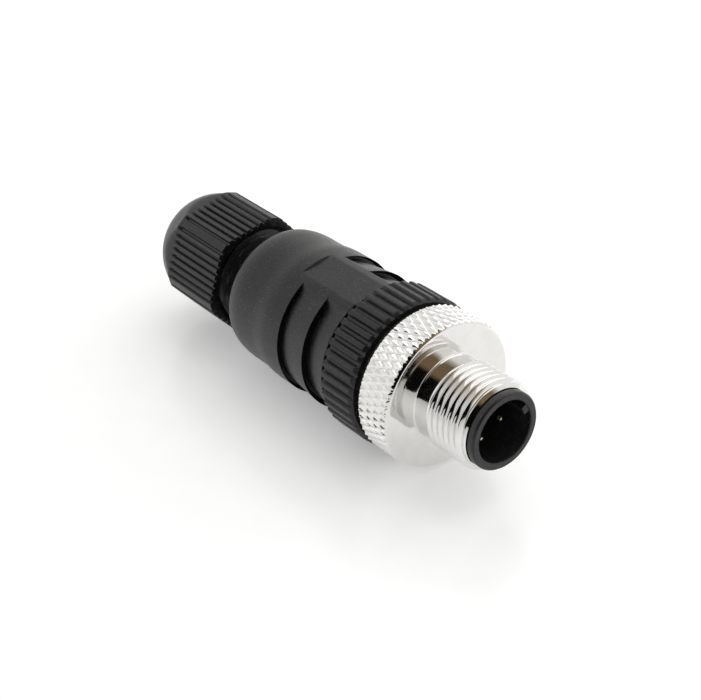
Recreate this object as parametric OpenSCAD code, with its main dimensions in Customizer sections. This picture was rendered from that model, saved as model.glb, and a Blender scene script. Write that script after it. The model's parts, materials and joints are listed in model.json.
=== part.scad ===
// Straight M12 cable plug with screw terminals: pin insert, coupling screw, grip ring, body and gland.
// Millimetres. The axis runs along X, the pins point to +X, and Z = 0 is the surface that the plug lies on.
// Stations are distances along the axis from the collar's front face, negative towards the cable end.

/* [Coupling screw] */
// Diameter over the thread crests
thread_d = 11.94; // [11.8:0.02:12]
// Length of the threaded part behind the nose chamfer
thread_len = 6.0; // [5:0.25:6.5]
// Wall from the thread crests in to the bore
thread_wall = 0.96; // [0.9:0.02:1.1]
// Distance from the collar face back to the metal nose
nose_setback = 1.2; // [1:0.1:1.6]
// Axial length of the nose chamfer
nose_chamfer = 0.8; // [0.5:0.1:1]
// Depth of the smooth neck below the thread crests
neck_drop = 0.47; // [0.4:0.01:0.6]
// Depth of the nose edge below the thread crests
nose_drop = 0.72; // [0.6:0.02:0.76]
// Length of the smooth neck
neck_len = 2.2; // [1.5:0.1:2.6]
// Diameter over the knurled flange
flange_d = 20.06; // [19.4:0.1:20.2]
// Width of the knurled flange
flange_len = 5.3; // [4.8:0.1:6]
// Chamfer on both edges of the flange
flange_chamfer = 0.5; // [0.3:0.05:0.7]
// Wall of the flange round its counterbore
flange_wall = 2.4; // [2:0.1:2.6]
// Thickness of the web between the flange's front face and its counterbore
web_len = 2.0; // [1.6:0.1:2.2]

/* [Pin insert] */
// Height of the collar's front rim, which keeps the coupling screw on
rim_lip = 0.15; // [0.12:0.01:0.2]
// Length of the front rim
rim_len = 1.0; // [0.7:0.05:1]
// Wall of the collar round the socket cavity
collar_wall = 0.8; // [0.7:0.02:0.9]
// Depth of the socket cavity
cavity_depth = 9.4; // [8.5:0.1:9.6]
// Width of the coding key
key_w = 1.2; // [0.8:0.1:1.4]
// Height of the coding key above the cavity wall
key_h = 0.75; // [0.5:0.05:0.85]
// Distance from the collar face to the key's end
key_setback = 0.3; // [0.1:0.1:1]
// Number of contact pins
pin_count = 4; // [3:1:4]
// Diameter of the circle through the pins
pin_circle_d = 5.0; // [4.8:0.1:5.4]
// Diameter of a pin
pin_d = 1.0; // [0.8:0.05:1]
// Distance from the collar face to the pin tips
pin_setback = 3.1; // [2.5:0.1:3.6]
// Diameter of a contact's terminal barrel
barrel_d = 2.6; // [2.4:0.1:2.7]
// Diameter of the conductor hole in a barrel
wire_hole_d = 1.6; // [1.2:0.1:1.7]
// Depth of that hole from the terminal block's rear face
wire_hole_len = 7.4; // [6.5:0.1:8]
// Thickness of the floor between cavity and terminal barrels
floor_len = 2.0; // [1.6:0.1:2.4]
// Length of the terminal block behind the insert's shoulder
block_len = 13.8; // [13.2:0.1:14.2]
// Width of the alignment notch along the terminal block, in line with the coding key
notch_w = 1.4; // [1:0.1:1.6]
// Depth of that notch
notch_depth = 0.7; // [0.4:0.05:0.8]
// Diameter of a terminal screw's thread
screw_d = 1.6; // [1.4:0.1:1.8]
// Diameter of a terminal screw's head
screw_head_d = 2.1; // [2:0.05:2.2]
// Height of that head
screw_head_len = 0.9; // [0.7:0.05:1]

/* [Grip ring] */
// Height of the ribs over the coupling screw's flange
ring_proud = 0.17; // [0.1:0.01:0.3]
// Axial gap between the flange and the grip ring
ring_gap = 0.5; // [0.4:0.05:0.8]
// Width of the grip ring
ring_len = 6.5; // [6:0.1:7]
// Length of the smooth chamfered rim in front of the ribs
ring_rim = 1.0; // [0.7:0.05:1.2]
// Number of ribs
rib_count = 43; // [36:1:45]
// Depth of the grooves between the ribs
groove_depth = 0.42; // [0.3:0.02:0.5]
// Width of those grooves at the crests
groove_w = 0.8; // [0.6:0.05:0.9]
// Depth of the threaded rear spigot below the ribs' crests
ring_inset = 2.6; // [2.5:0.05:2.7]
// Wall of that spigot
ring_wall = 1.55; // [1.4:0.05:1.6]
// Length of that spigot
ring_spigot_len = 6.0; // [5:0.25:7]
// Cord diameter of the seal between ring and body
o_ring_d = 1.0; // [0.8:0.05:1]
// Cord diameter of the seal between insert and ring
insert_ring_d = 0.74; // [0.6:0.02:0.76]

/* [Body sleeve] */
// Depth of the gripped front part below the grip ring's ribs
grip_inset = 0.45; // [0.35:0.05:0.6]
// Depth of the plain rear part below the gripped part
body_inset = 0.3; // [0.2:0.05:0.4]
// Station of the body's rear end, where the spigot starts
body_end = 46.6; // [46:0.1:47]
// Axial length of the rounded rear shoulder
shoulder_len = 5.6; // [4.6:0.1:6]
// Radial depth of that shoulder
shoulder_drop = 2.4; // [1.8:0.1:2.5]
// Station where the gripped part tapers down to the plain part
grip_end = 37.4; // [37:0.1:38]
// Station of the rear grip step
rear_step = 32.25; // [31.8:0.05:32.6]
// Depth of the rear grip step
rear_step_depth = 0.65; // [0.5:0.05:0.8]
// Station of the front grip step
front_step = 27.2; // [26.8:0.05:27.6]
// Depth of the front grip step
front_step_depth = 0.95; // [0.7:0.05:1]
// Half width of the smooth label pad at its outer edge
pad_w = 3.8; // [3:0.1:4.2]
// Depth of the label flat
label_depth = 0.3; // [0.2:0.05:0.4]
// Station of the label flat's rear edge
label_end = 33.7; // [33.4:0.1:34.2]
// Angle of the label pad round the axis, from +Y towards +Z
pad_angle = 103; // [90:1:110]
// Wall of the gland spigot
spigot_wall = 1.2; // [1.1:0.05:1.3]
// Diameter over the spigot's thread
spigot_d = 13.8; // [13.5:0.05:13.9]
// Length of the spigot
spigot_len = 7.9; // [7.5:0.1:8.2]

/* [Gland] */
// Size across the flats of the gland nut
nut_flats = 16.0; // [15.8:0.05:16.3]
// Distance between opposite corner facets
nut_corners = 17.4; // [17.2:0.05:17.6]
// Station of the loosened nut's mouth
nut_mouth = 49.2; // [49:0.1:49.5]
// Axial length of the grooved part
nut_grip_len = 10.4; // [9.8:0.1:10.8]
// Axial length of the domed end
nut_dome_len = 6.2; // [5.8:0.1:6.4]
// Half width of the ellipse that the dome follows
dome_r = 8.2; // [8:0.05:8.4]
// Half length of that ellipse along the axis
dome_h = 7.4; // [7:0.1:7.8]
// Diameter of the cable hole in the dome
cable_hole_d = 8.2; // [7.6:0.1:8.4]
// Number of grooves on each flat
nut_grooves = 8; // [6:1:8]
// Depth of those grooves
nut_groove_depth = 0.36; // [0.2:0.02:0.4]
// Axial travel of the nut and basket from loosened to tight
gland_travel = 2.4; // [2:0.1:2.4]
// Depth of the cable seal's seat beyond the body's rear end
seal_seat = 3.4; // [3:0.1:3.8]
// Inside diameter of the cable seal
seal_bore_d = 6.8; // [6.2:0.1:7]
// Length of the clamp basket
basket_len = 6.2; // [5.6:0.1:6.6]
// Number of fingers on the clamp basket
finger_count = 8; // [6:1:10]
// Width of the slots between them
finger_gap = 0.8; // [0.5:0.1:1]

/* [Fits] */
// Radial running clearance of turning pieces
run_gap = 0.06; // [0.04:0.01:0.08]
// Radial clearance of pieces that are fixed together
fit_gap = 0.05; // [0.03:0.01:0.07]
// Axial clearance of faces that turn or slide past each other
face_gap = 0.2; // [0.1:0.05:0.25]

/* [Hidden] */
$fn = 96;

eps = 0.01;
nose_z = -nose_setback;
thread_z = nose_z - nose_chamfer;
neck_z = thread_z - thread_len;
flange_z = neck_z - neck_len;
flange_end = flange_z - flange_len;
web_end = flange_z - web_len;
thread_r = thread_d / 2;
screw_bore = thread_r - thread_wall;
flange_r = flange_d / 2;
counter_r = flange_r - flange_wall;

shoulder_z = web_end - face_gap;
insert_shoulder_r = counter_r - 0.6;
collar_r = screw_bore - run_gap;
rim_r = collar_r + run_gap + rim_lip;
cavity_r = collar_r - collar_wall;
boss_z = shoulder_z - 1.2;
boss_r = counter_r - run_gap - 0.1;
block_z = boss_z - block_len;
ring_r = flange_r + ring_proud;
ring_spigot_r = ring_r - ring_inset;
block_bore = ring_spigot_r - ring_wall;
block_r = block_bore - fit_gap;
barrel_z = -cavity_depth - floor_len;
pin_angle = pad_angle - 31;
key_angle = pin_angle - 45;
screw_z = block_z + 3.6;
screw_head_r = screw_head_d / 2;
screw_head_base = pin_circle_d / 2 + barrel_d / 2 + fit_gap;
screw_head_top = screw_head_base + screw_head_len;

ring_z = flange_end - ring_gap;
ring_end = ring_z - ring_len;
rib_pitch = 360 / rib_count;
groove_half = asin(groove_w / 2 / ring_r);
axis_z = ring_r * cos(groove_half);
o_ring_r = o_ring_d / 2;
ring_spigot_end = ring_end - ring_spigot_len;
o_groove_r = ring_spigot_r - 0.65;
o_groove_z = ring_end - 0.9;
o_groove_len = o_ring_d + 0.2;
insert_groove_r = block_bore - insert_ring_d - fit_gap / 2;
insert_groove_z = boss_z - 1.4;
insert_groove_len = insert_ring_d + 0.3;
notch_len = insert_groove_z - 2.4 - block_z;

body_z = ring_end - 0.1;
body_front_bore = o_groove_r + 2 * o_ring_r + fit_gap;
body_thread_bore = ring_spigot_r + fit_gap;
chamber_r = body_thread_bore - 0.5;
spigot_r = spigot_d / 2;
spigot_bore = spigot_r - spigot_wall;
spigot_end = -body_end - spigot_len;
seal_stop_z = -body_end + seal_seat;
chamber_end = seal_stop_z + 2.2;
stop_r = 3.9;
grip_r = ring_r - grip_inset;
body_r = grip_r - body_inset;

basket_r = spigot_bore - 0.1;
basket_bore = basket_r - 1.15;
basket_flange_r = spigot_r - 0.5;
basket_flange_z = spigot_end - gland_travel - 0.15;
basket_flange_len = 1.2;
basket_back = basket_flange_z - basket_flange_len;
basket_front = basket_back + basket_len;
seal_back = basket_front + gland_travel + 0.15;
seal_r = spigot_bore - fit_gap;
nut_z = -nut_mouth;
nut_grip_end = nut_z - nut_grip_len;
nut_end = nut_grip_end - nut_dome_len;
nut_bore = spigot_r + run_gap;
nut_seat_z = basket_back - fit_gap;
groove_pitch = 7.2 / (nut_grooves - 1);
dome_z = nut_grip_end + 0.1;
front_x = -nut_end / 2;

// Places stations along X, with angles round the axis counted from +Y towards +Z.
module on_axis() {
    translate([front_x, 0, axis_z])
        rotate([0, 90, 0])
            rotate([0, 0, 90])
                children();
}

// A turned solid from its half section of [radius, station] points.
module turned(points) {
    rotate_extrude()
        polygon(points);
}

// A round hole or bar along the axis between two stations.
module rod(r, z0, z1) {
    translate([0, 0, min(z0, z1)])
        cylinder(r = r, h = abs(z1 - z0));
}

// A round hole or bar pointing outwards at an angle, from one radius to another.
module spoke(r, angle, z, from_r, to_r) {
    rotate([0, 0, angle])
        translate([from_r, 0, z])
            rotate([0, 90, 0])
                cylinder(r = r, h = to_r - from_r);
}

// Angle of contact number i round the axis.
function contact_angle(i) = pin_angle + 360 / pin_count * i;

// Places children at the position of contact number i.
module at_contact(i) {
    rotate([0, 0, contact_angle(i)])
        translate([pin_circle_d / 2, 0, 0])
            children();
}

// Moulded insert: collar with the coding key, shoulder and terminal block.
module contact_insert() {
    color("#2a2a2c")
        on_axis() {
            difference() {
                turned([[0, -cavity_depth], [cavity_r, -cavity_depth], [cavity_r, -0.12], [cavity_r + 0.12, 0],
                    [rim_r - 0.2, 0], [rim_r, -0.25], [rim_r, -rim_len], [collar_r, -rim_len],
                    [collar_r, shoulder_z], [insert_shoulder_r, shoulder_z], [insert_shoulder_r, boss_z],
                    [block_r, boss_z], [block_r, insert_groove_z], [insert_groove_r, insert_groove_z],
                    [insert_groove_r, insert_groove_z - insert_groove_len],
                    [block_r, insert_groove_z - insert_groove_len], [block_r, block_z], [0, block_z]]);
                for (i = [0:pin_count - 1]) {
                    at_contact(i)
                        rod(pin_d / 2 + 0.02, -cavity_depth + eps, barrel_z - eps);
                    at_contact(i)
                        rod(barrel_d / 2 + 0.03, barrel_z, block_z - eps);
                    spoke(screw_head_r + 0.15, contact_angle(i), screw_z, pin_circle_d / 2, block_r + 1);
                }
                rotate([0, 0, key_angle])
                    translate([block_r - notch_depth, -notch_w / 2, block_z - eps])
                        cube([notch_depth + 1, notch_w, notch_len]);
            }
            intersection() {
                rotate([0, 0, key_angle])
                    translate([cavity_r - key_h, -key_w / 2, -cavity_depth - eps])
                        cube([key_h + 0.3, key_w, cavity_depth + eps - key_setback]);
                rod(cavity_r + 0.2, -cavity_depth - 1, 0);
            }
        }
}

// Turned coupling screw with thread, neck and knurled flange.
module coupling_screw() {
    color("#d8d8d6")
        on_axis()
            turned([[screw_bore, nose_z], [thread_r - nose_drop, nose_z], [thread_r, thread_z],
                [thread_r, neck_z + 0.35], [thread_r - neck_drop, neck_z], [thread_r - neck_drop, flange_z],
                [flange_r - flange_chamfer, flange_z], [flange_r, flange_z - flange_chamfer],
                [flange_r, flange_end + flange_chamfer / 2], [flange_r - flange_chamfer / 2, flange_end],
                [counter_r, flange_end], [counter_r, web_end], [screw_bore, web_end]]);
}

// Moulded carrier with the ribbed grip ring, its front boss and its rear threaded spigot.
module grip_ring() {
    color("#2d2d2f")
        on_axis()
            difference() {
                turned([[block_bore, boss_z], [boss_r, boss_z], [boss_r, ring_z],
                    [ring_r - ring_rim, ring_z], [ring_r, ring_z - ring_rim], [ring_r, ring_end],
                    [ring_spigot_r, ring_end], [ring_spigot_r, o_groove_z], [o_groove_r, o_groove_z],
                    [o_groove_r, o_groove_z - o_groove_len], [ring_spigot_r, o_groove_z - o_groove_len],
                    [ring_spigot_r, ring_spigot_end], [block_bore, ring_spigot_end]]);
                translate([0, 0, ring_end - eps])
                    linear_extrude(height = ring_len - ring_rim)
                        for (i = [0:rib_count - 1])
                            rotate(-90 + rib_pitch * i)
                                translate([ring_r, 0])
                                    polygon([[-groove_depth, -0.14], [0.3, -groove_w / 2 - 0.3],
                                        [0.3, groove_w / 2 + 0.3], [-groove_depth, 0.14]]);
            }
}

// Section of the body sleeve's rounded rear shoulder.
function shoulder_points() = [for (a = [0:11.25:90])
    [body_r - shoulder_drop * (1 - sin(a)), -body_end + shoulder_len * (1 - cos(a))]];

// Prisms that keep the grip steps off the two label pads.
module pad_guard() {
    for (side = [0, 180])
        rotate([0, 0, pad_angle + side])
            translate([0, 0, -rear_step - 1])
                linear_extrude(height = rear_step + body_z + 2)
                    polygon([[grip_r / 2, -pad_w - 3], [grip_r, -pad_w], [grip_r * 2, 0], [grip_r, pad_w],
                        [grip_r / 2, pad_w + 3]]);
}

// Tapered recess in front of each grip step, up to the next one.
module grip_steps() {
    difference() {
        union() {
            turned([[grip_r - rear_step_depth, -rear_step], [grip_r + 2, -rear_step],
                [grip_r + 2, -front_step], [grip_r - 0.1, -front_step]]);
            turned([[grip_r - front_step_depth, -front_step], [grip_r + 2, -front_step],
                [grip_r + 2, body_z + 1], [grip_r - 0.25, body_z + 1], [grip_r - 0.25, body_z - 0.6]]);
        }
        pad_guard();
    }
}

// Flat that carries the label, on one pad.
module label_flat() {
    rotate([0, 0, pad_angle])
        translate([grip_r - label_depth, -grip_r, -label_end])
            cube([grip_r, grip_r * 2, label_end + body_z + 1]);
}

// Moulded body sleeve with grip steps, label pad and gland spigot.
module body_sleeve() {
    color("#303032")
        on_axis()
            difference() {
                turned(concat([[spigot_bore, spigot_end], [spigot_r - 0.3, spigot_end],
                    [spigot_r, spigot_end + 0.3], [spigot_r, -body_end]], shoulder_points(),
                    [[body_r, -grip_end], [grip_r, -grip_end + 1.4], [grip_r, body_z - 0.3],
                    [grip_r - 0.3, body_z], [body_front_bore, body_z], [body_front_bore, o_groove_z - 1.7],
                    [body_thread_bore, o_groove_z - 2.2], [body_thread_bore, ring_spigot_end - 0.3],
                    [chamber_r, ring_spigot_end - 0.8], [chamber_r, chamber_end],
                    [stop_r + 1.4, seal_stop_z + 0.8], [stop_r, seal_stop_z + 0.8],
                    [stop_r, seal_stop_z], [spigot_bore, seal_stop_z]]));
                grip_steps();
                label_flat();
            }
}

// Seal between body sleeve and grip ring.
module body_o_ring() {
    color("#1c1c1c")
        on_axis()
            translate([0, 0, o_groove_z - o_groove_len / 2])
                rotate_extrude()
                    translate([o_groove_r + o_ring_r + fit_gap / 2, 0])
                        circle(r = o_ring_r, $fn = 32);
}

// Seal between pin insert and grip ring.
module insert_o_ring() {
    color("#1c1c1c")
        on_axis()
            translate([0, 0, insert_groove_z - insert_groove_len / 2])
                rotate_extrude()
                    translate([(block_bore + insert_groove_r) / 2, 0])
                        circle(d = insert_ring_d, $fn = 32);
}

// Rubber sleeve that grips and seals the cable.
module cable_seal() {
    color("#1a1a1a")
        on_axis()
            turned([[seal_bore_d / 2, seal_back], [seal_r, seal_back], [seal_r, seal_stop_z - fit_gap],
                [seal_bore_d / 2, seal_stop_z - fit_gap]]);
}

// Collet cage whose fingers close on the cable when the nut pushes it in.
module clamp_basket() {
    color("#3a3a3c")
        on_axis()
            difference() {
                turned([[basket_bore, basket_back], [basket_flange_r, basket_back],
                    [basket_flange_r, basket_flange_z], [basket_r, basket_flange_z],
                    [basket_r, basket_front - 1.2], [basket_r - 0.5, basket_front], [basket_bore, basket_front]]);
                for (i = [0:finger_count - 1])
                    rotate([0, 0, 360 / finger_count * i])
                        translate([0, -finger_gap / 2, basket_flange_z + 0.6])
                            cube([basket_r + 1, finger_gap, basket_len]);
            }
}

// Cross section of the nut: a hexagon with its corners cut off.
module nut_outline() {
    intersection() {
        circle(r = nut_flats / sqrt(3), $fn = 6);
        rotate([0, 0, 30])
            circle(r = nut_corners / sqrt(3), $fn = 6);
    }
}

// Grooves across one flat, as a flat shape.
module flat_grooves() {
    for (i = [0:nut_grooves - 1])
        translate([nut_flats / 2, (i - (nut_grooves - 1) / 2) * groove_pitch])
            polygon([[-nut_groove_depth, -0.12], [0.2, -0.4], [0.2, 0.4], [-nut_groove_depth, 0.12]]);
}

// Section of the nut's dome, from the grooved part to the cable hole's rim.
function dome_points() = [for (i = [0:10])
    let (a = asin((dome_z - nut_end) / dome_h) * i / 10)
        [dome_r * cos(a), dome_z - dome_h * sin(a)]];

// Gland nut with grooved flats and a domed end.
module gland_nut() {
    color("#2b2b2d")
        on_axis()
            rotate([0, 0, pad_angle])
                difference() {
                    intersection() {
                        union() {
                            translate([0, 0, nut_grip_end])
                                linear_extrude(height = nut_grip_len)
                                    difference() {
                                        rotate([0, 0, 30])
                                            nut_outline();
                                        for (i = [0:5])
                                            rotate([0, 0, 60 * i])
                                                flat_grooves();
                                    }
                            translate([0, 0, nut_end])
                                linear_extrude(height = nut_dome_len)
                                    rotate([0, 0, 30])
                                        nut_outline();
                        }
                        turned(concat([[0, nut_z], [nut_corners / 2 + 0.15, nut_z],
                            [nut_corners / 2 + 0.15, nut_grip_end + 0.5]], dome_points(), [[0, nut_end]]));
                    }
                    rod(nut_bore, nut_z + eps, basket_flange_z + 0.05);
                    rod(basket_flange_r + 0.15, spigot_end, nut_seat_z);
                    rod(cable_hole_d / 2, nut_seat_z + 1, nut_end - eps);
                }
}

// Contact number i: a pin with a rounded tip and a terminal barrel with its conductor hole.
module contact_pin(i) {
    color("#c9b583")
        on_axis()
            difference() {
                at_contact(i)
                    turned([[0, -pin_setback], [pin_d / 4, -pin_setback - 0.06],
                        [pin_d / 2, -pin_setback - pin_d / 2], [pin_d / 2, barrel_z - fit_gap],
                        [barrel_d / 2, barrel_z - fit_gap], [barrel_d / 2, block_z + 0.4],
                        [wire_hole_d / 2, block_z + 0.4], [wire_hole_d / 2, block_z + wire_hole_len],
                        [0, block_z + wire_hole_len + wire_hole_d / 4]]);
                spoke(screw_d / 2 + 0.03, contact_angle(i), screw_z, pin_circle_d / 2, block_r);
            }
}

// Terminal screw number i, pointing outwards, with a slotted head.
module terminal_screw(i) {
    color("#b8b8b4")
        on_axis()
            difference() {
                union() {
                    spoke(screw_d / 2, contact_angle(i), screw_z, pin_circle_d / 2 + 0.1, screw_head_top - eps);
                    spoke(screw_head_r, contact_angle(i), screw_z, screw_head_base, screw_head_top);
                }
                rotate([0, 0, contact_angle(i)])
                    translate([screw_head_top - 0.5, -screw_head_d, screw_z - 0.18])
                        cube([1, screw_head_d * 2, 0.36]);
            }
}

contact_insert();
coupling_screw();
grip_ring();
body_sleeve();
body_o_ring();
insert_o_ring();
cable_seal();
clamp_basket();
gland_nut();
contact_pin(0);  // contact_pin_1
contact_pin(1);  // contact_pin_2
contact_pin(2);  // contact_pin_3
contact_pin(3);  // contact_pin_4
terminal_screw(0);  // terminal_screw_1
terminal_screw(1);  // terminal_screw_2
terminal_screw(2);  // terminal_screw_3
terminal_screw(3);  // terminal_screw_4
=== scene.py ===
"""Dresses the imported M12 pin plug: moulded body, ribbed grip, knurled coupling screw and gland nut.

Sizes are millimetres. A station is a place along the plug's axis: 0 at the socket face, and less than 0
towards the cable end. An angle turns about that axis, from +Y towards +Z.
"""

import bisect
import json
import logging
import math
from dataclasses import dataclass, field
from enum import Enum
from typing import Callable, Iterable, Sequence

import bmesh
import bpy
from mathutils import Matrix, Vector


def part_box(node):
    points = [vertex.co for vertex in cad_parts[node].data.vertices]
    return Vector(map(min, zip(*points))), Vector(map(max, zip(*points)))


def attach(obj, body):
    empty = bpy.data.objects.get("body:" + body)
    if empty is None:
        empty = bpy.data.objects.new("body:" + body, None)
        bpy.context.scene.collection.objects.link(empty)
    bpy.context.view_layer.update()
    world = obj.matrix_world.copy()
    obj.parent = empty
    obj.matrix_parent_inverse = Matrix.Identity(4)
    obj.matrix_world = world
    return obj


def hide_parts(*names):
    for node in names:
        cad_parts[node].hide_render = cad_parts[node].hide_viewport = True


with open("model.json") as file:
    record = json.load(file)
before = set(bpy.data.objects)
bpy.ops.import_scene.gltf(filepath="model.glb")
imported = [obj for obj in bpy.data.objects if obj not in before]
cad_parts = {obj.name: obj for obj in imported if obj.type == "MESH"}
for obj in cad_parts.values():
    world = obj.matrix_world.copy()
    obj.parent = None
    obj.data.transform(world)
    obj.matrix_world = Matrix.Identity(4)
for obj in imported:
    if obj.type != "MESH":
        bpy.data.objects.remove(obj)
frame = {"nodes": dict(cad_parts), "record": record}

MM = 0.001
WELD = 1e-6
FULL_TURN = 2.0 * math.pi
LOG = logging.getLogger("m12_plug")

Reach = Callable[[float, float, float], float]
Profile = list[tuple[float, float]]
Tree = bpy.types.NodeTree
Socket = bpy.types.NodeSocket

WHOLE = (0.0, 1.0)
NOISE_BAND = (0.3, 0.7)
WHITE = (1.0, 1.0, 1.0, 1.0)


# ---------------------------------------------------------------- frame and mesh tools


@dataclass(frozen=True)
class Axis:
    """The plug's axis, in metres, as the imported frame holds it."""

    front: float
    height: float

    @classmethod
    def from_frame(cls) -> "Axis":
        """Reads the axis from the boxes of the insert and the coupling.

        Returns:
            The axis, with station 0 on the insert's front face.
        """
        insert_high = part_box("contact_insert")[1]
        low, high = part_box("coupling_screw")
        return cls(front=insert_high[0], height=(low[2] + high[2]) / 2.0)

    def place(self, station: float, radius: float, angle: float) -> Vector:
        """Gives the point at a station, a radius (both mm) and an angle (radians), in metres."""
        across = radius * MM
        return Vector(
            (self.front + station * MM, across * math.cos(angle), self.height + across * math.sin(angle))
        )

    def angle_of(self, point: Vector) -> float:
        """Gives a point's angle about the axis, from 0 to a full turn."""
        return math.atan2(point.z - self.height, point.y) % FULL_TURN

    def station_of(self, point: Vector) -> float:
        """Gives a point's station in mm."""
        return (point.x - self.front) / MM

    def radius_of(self, point: Vector) -> float:
        """Gives a point's distance from the axis in mm."""
        return math.hypot(point.z - self.height, point.y) / MM


def apart(angle: float, centre: float) -> float:
    """Gives the signed turn from centre to angle, within half a turn either way.

    Args:
        angle: an angle in radians.
        centre: the angle that it is measured from.

    Returns:
        The difference, between minus and plus pi.
    """
    return (angle - centre + math.pi) % FULL_TURN - math.pi


def ease(value: float) -> float:
    """Clamps a value to 0..1 and eases both ends."""
    held = min(1.0, max(0.0, value))
    return held * held * (3.0 - 2.0 * held)


def mix(start: float, end: float, share: float) -> float:
    """Gives the value a share of the way from start to end."""
    return start + (end - start) * share


def even_angles(count: int) -> list[float]:
    """Gives count angles, evenly round a full turn."""
    return [FULL_TURN * i / count for i in range(count)]


def softened(corners: Sequence[tuple[float, float, float]], steps: int = 3) -> Profile:
    """Rounds the corners of a profile.

    Args:
        corners: (station, radius, round) for each corner, where round is how far the rounding reaches.
        steps: the number of straight pieces in each rounding.

    Returns:
        The profile as (station, radius) points.
    """
    points: Profile = []
    for i, (station, radius, reach) in enumerate(corners):
        if reach <= 0.0 or i in (0, len(corners) - 1):
            points.append((station, radius))
            continue
        here = Vector((station, radius))
        before = Vector(corners[i - 1][:2]) - here
        after = Vector(corners[i + 1][:2]) - here
        start = here + before.normalized() * min(reach, before.length * 0.45)
        end = here + after.normalized() * min(reach, after.length * 0.45)
        for k in range(steps + 1):
            share = k / steps
            bend = start.lerp(here, share).lerp(here.lerp(end, share), share)
            points.append((bend.x, bend.y))
    return points


def as_is(station: float, angle: float, radius: float) -> float:
    """Keeps a profile's radius all the way round."""
    return radius


class Lathe:
    """Grows a closed skin round the axis, ring by ring."""

    def __init__(
        self, axis: Axis, angles: Sequence[float], start: tuple[float, float], reach: Reach = as_is
    ) -> None:
        """Starts from one ring.

        Args:
            axis: the plug's axis.
            angles: where the ring's points are, in order round the axis.
            start: the first ring's station and radius.
            reach: gives the radius at a station and angle from the profile's radius.
        """
        self.axis = axis
        self.reach = reach
        self.lean: Callable[[float, float], float] = lambda station, angle: station
        self.mesh = bmesh.new()
        ring = bmesh.ops.create_circle(self.mesh, segments=len(angles), radius=MM)["verts"]
        for point, angle in zip(ring, angles):
            point.co = axis.place(start[0], reach(start[0], angle, start[1]), angle)
        self.rim = list(self.mesh.edges)

    def grow(self, station: float, radius: float) -> "Lathe":
        """Extrudes the rim to a new ring.

        Args:
            station: the new ring's station.
            radius: the new ring's profile radius.

        Returns:
            This lathe.
        """
        made = bmesh.ops.extrude_edge_only(self.mesh, edges=self.rim)["geom"]
        points = {part for part in made if isinstance(part, bmesh.types.BMVert)}
        for point in points:
            angle = self.axis.angle_of(point.co)
            point.co = self.axis.place(self.lean(station, angle), self.reach(station, angle, radius), angle)
        self.rim = [
            part for part in made if isinstance(part, bmesh.types.BMEdge) and set(part.verts) <= points
        ]
        return self

    def follow(self, profile: Iterable[tuple[float, float]]) -> "Lathe":
        """Grows one ring for each point of a profile."""
        for station, radius in profile:
            self.grow(station, radius)
        return self

    def take_over(self, other: "Lathe") -> None:
        """Adds another lathe's mesh to this one. The other lathe is used up."""
        carried = bpy.data.meshes.new("carried")
        other.mesh.to_mesh(carried)
        other.mesh.free()
        self.mesh.from_mesh(carried)
        bpy.data.meshes.remove(carried)

    def open_edges(self, station: float) -> list[bmesh.types.BMEdge]:
        """Gives the open edges at a station."""
        return [
            edge for edge in self.mesh.edges
            if edge.is_boundary and all(abs(self.axis.station_of(v.co) - station) < 0.01 for v in edge.verts)
        ]

    def close_flat(self, station: float) -> None:
        """Fills the flat ring between the two open rims at a station."""
        bmesh.ops.triangle_fill(
            self.mesh, edges=self.open_edges(station), normal=(1.0, 0.0, 0.0),
            use_beauty=True, use_dissolve=False,
        )

    def weld(self) -> bmesh.types.BMesh:
        """Closes the skin where rings meet.

        Returns:
            The finished mesh, with its faces pointing outwards.
        """
        bmesh.ops.remove_doubles(self.mesh, verts=self.mesh.verts, dist=WELD)
        bmesh.ops.recalc_face_normals(self.mesh, faces=self.mesh.faces)
        return self.mesh


def as_piece(
    name: str, mesh: bmesh.types.BMesh, material: bpy.types.Material, sharp: float = 38.0
) -> bpy.types.Object:
    """Makes a mesh an object with smooth faces and crisp edges.

    Args:
        name: the piece's name.
        mesh: the built mesh, which is used up.
        material: its finish.
        sharp: edges that turn more than this many degrees stay crisp.

    Returns:
        The new object, at the origin.
    """
    data = bpy.data.meshes.new(name)
    mesh.to_mesh(data)
    mesh.free()
    data.polygons.foreach_set("use_smooth", [True] * len(data.polygons))
    data.set_sharp_from_angle(angle=math.radians(sharp))
    data.materials.append(material)
    piece = bpy.data.objects.new(name, data)
    bpy.context.scene.collection.objects.link(piece)
    shade = piece.modifiers.new("even shading", "WEIGHTED_NORMAL")
    shade.keep_sharp = True
    return piece


def merged_copy(node: str, name: str, material: bpy.types.Material, edge: float = 0.0) -> bpy.types.Object:
    """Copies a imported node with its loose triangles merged, so that it shades and bevels as one skin.

    Args:
        node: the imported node.
        name: the new piece's name.
        material: its finish.
        edge: the width in mm of the bevel on its crisp edges, or 0 for none.

    Returns:
        The new object.
    """
    mesh = bmesh.new()
    mesh.from_mesh(frame["nodes"][node].data)
    bmesh.ops.remove_doubles(mesh, verts=mesh.verts, dist=WELD)
    bmesh.ops.dissolve_limit(mesh, angle_limit=math.radians(0.5), verts=mesh.verts, edges=mesh.edges)
    if edge > 0.0:
        crisp = [e for e in mesh.edges if e.is_manifold and e.calc_face_angle(0.0) > math.radians(38.0)]
        bmesh.ops.bevel(
            mesh, geom=crisp, offset=edge * MM, segments=2, profile=0.5, affect="EDGES",
            material=-1, clamp_overlap=True,
        )
    return as_piece(name, mesh, material)


# ---------------------------------------------------------------- finishes


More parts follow.
